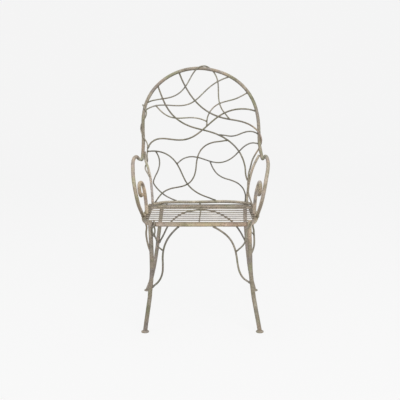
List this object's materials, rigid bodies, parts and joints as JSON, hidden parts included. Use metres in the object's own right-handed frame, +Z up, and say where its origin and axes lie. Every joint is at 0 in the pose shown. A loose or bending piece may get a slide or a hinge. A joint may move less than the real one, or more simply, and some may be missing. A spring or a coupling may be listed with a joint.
{
  "type": "wrought iron garden armchair",
  "caption": "Open garden armchair of bent and welded round iron bar: branch-lattice hoop back, curled arms with inner scrolls, thin cross-slat seat, splayed legs on small round feet.",
  "frame": {"origin": "on the floor, at the middle of the chair's outline seen from above", "axes": "+Z up, the chair's front looks along -Y, +X is on the right in a view of the front"},
  "size_m": [0.5822, 0.5774, 1.0708],
  "materials": {
    "heavy_bar": "matte distressed taupe paint over hand-forged iron bar",
    "branch_bar": "matte distressed grey-green paint over iron rod",
    "seat_bar": "matte taupe-grey paint over iron rod and flat",
    "foot_disc": "matte distressed taupe paint over a flat iron disc"
  },
  "bodies": {
    "root": {"arch_hoop": "heavy_bar", "back_bottom_rail": "branch_bar", "back_rail_ties": "branch_bar", "branch_centre_descending": "branch_bar", "branch_left_hook": "branch_bar", "branch_left_to_rail": "branch_bar", "branch_long_wave": "branch_bar", "branch_looped_over_arch": "branch_bar", "branch_lower_left": "branch_bar", "branch_lower_right": "branch_bar", "branch_lower_wave": "branch_bar", "branch_right_short": "branch_bar", "branch_top_left_to_right_wrap": "branch_bar", "branch_upper_cross": "branch_bar", "branch_upper_left_to_right_post": "branch_bar", "branch_upper_right": "branch_bar", "left_arm": "heavy_bar", "left_arm_scroll": "heavy_bar", "left_brace_twig": "branch_bar", "left_front_brace": "branch_bar", "left_front_foot": "foot_disc", "left_front_leg": "heavy_bar", "left_rear_foot": "foot_disc", "left_rear_leg": "heavy_bar", "left_seat_edge_bar": "seat_bar", "left_side_brace": "branch_bar", "left_upright": "heavy_bar", "left_vine": "branch_bar", "rear_arch_brace": "branch_bar", "right_arm": "heavy_bar", "right_arm_scroll": "heavy_bar", "right_brace_twig": "branch_bar", "right_front_brace": "branch_bar", "right_front_foot": "foot_disc", "right_front_leg": "heavy_bar", "right_rear_foot": "foot_disc", "right_rear_leg": "heavy_bar", "right_seat_edge_bar": "seat_bar", "right_side_brace": "branch_bar", "right_upright": "heavy_bar", "seat_centre_rod": "seat_bar", "seat_frame": "heavy_bar", "seat_rear_bar": "heavy_bar", "seat_slat_1": "seat_bar", "seat_slat_2": "seat_bar", "seat_slat_3": "seat_bar", "seat_slat_4": "seat_bar", "seat_slat_5": "seat_bar", "seat_slat_6": "seat_bar", "seat_slat_7": "seat_bar", "seat_slat_8": "seat_bar", "seat_slat_9": "seat_bar"}
  },
  "joints": []
}
